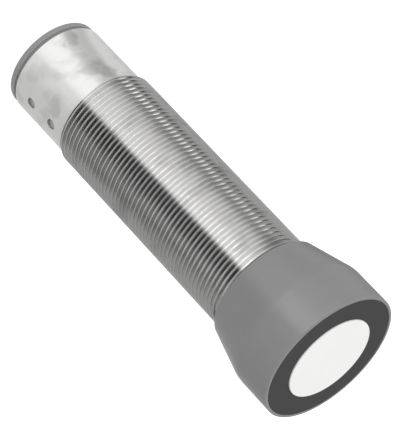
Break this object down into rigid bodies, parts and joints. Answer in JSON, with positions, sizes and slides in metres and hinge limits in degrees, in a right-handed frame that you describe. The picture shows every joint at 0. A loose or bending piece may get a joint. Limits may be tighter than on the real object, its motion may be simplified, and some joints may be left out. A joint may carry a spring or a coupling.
{
  "type": "ultrasonic sensor",
  "caption": "Barrel-shaped ultrasonic distance sensor: threaded metal barrel, wide plastic sensing head with a pale disc, and a sunk round plug at the rear.",
  "frame": {"origin": "centre of the rear cap's rim, on the surface that the sensor stands on", "axes": "+Z along the barrel's axis, the way the sensor looks; +X towards the two indicator windows; +Y completes a right-handed frame"},
  "size_m": [0.04, 0.04, 0.1196],
  "materials": {
    "nickel_plated_brass": "bright nickel plating over brass",
    "head_plastic": "mid grey moulded plastic, satin",
    "cap_plastic": "dark grey moulded plastic, satin",
    "seal_rubber": "black sealing rubber",
    "ring_foam": "dark grey closed foam, smooth skin",
    "disc_resin": "off-white filled resin, matt",
    "piezo_ceramic": "silvered piezo ceramic",
    "backing_foam": "grey soft foam",
    "inner_plastic": "black moulded plastic",
    "lead_red": "red lead insulation",
    "lead_black": "black lead insulation",
    "lead_brown": "brown lead insulation",
    "lead_white": "white lead insulation",
    "lead_blue": "blue lead insulation",
    "lead_grey": "grey lead insulation",
    "bead_glaze": "dark glazed bead",
    "sleeve_film": "amber insulating film",
    "board_laminate": "green coated laminate",
    "chip_resin": "black moulded resin",
    "can_aluminium": "drawn metal can",
    "ferrite": "dark ferrite",
    "winding_copper": "enamelled copper wire",
    "chip_ceramic": "fired ceramic chip",
    "led_yellow": "yellow light chip",
    "led_green": "green light chip",
    "lens_smoke": "smoked clear lens",
    "insert_plastic": "black moulded insert",
    "pin_gold": "gold plated contact"
  },
  "bodies": {
    "root": {"barrel": "nickel_plated_brass", "sensor_head": "head_plastic", "head_seal": "seal_rubber", "decoupling_ring": "ring_foam", "matching_disc": "disc_resin", "piezo_disc": "piezo_ceramic", "backing_pad": "backing_foam", "transducer_holder": "inner_plastic", "transducer_lead_red": "lead_red", "transducer_lead_black": "lead_black", "temperature_probe": "bead_glaze", "insulating_sleeve": "sleeve_film", "board_sled": "inner_plastic", "main_board": "board_laminate", "microcontroller": "chip_resin", "amplifier_chip": "chip_resin", "voltage_regulator": "chip_resin", "output_transistors": "chip_resin", "protection_diodes": "chip_resin", "storage_capacitors": "can_aluminium", "crystal": "can_aluminium", "choke": "ferrite", "transformer_core": "ferrite", "transformer_coil": "winding_copper", "transformer_former": "inner_plastic", "chip_components": "chip_ceramic", "indicator_strip": "sleeve_film", "yellow_led": "led_yellow", "green_led": "led_green", "indicator_lenses": "lens_smoke", "rear_cap": "cap_plastic", "cap_seal": "seal_rubber", "plug_shell": "nickel_plated_brass", "plug_seal": "seal_rubber", "plug_insert": "insert_plastic", "plug_pins": "pin_gold", "plug_lead_brown": "lead_brown", "plug_lead_white": "lead_white", "plug_lead_blue": "lead_blue", "plug_lead_black": "lead_black", "plug_lead_grey": "lead_grey"}
  },
  "joints": []
}
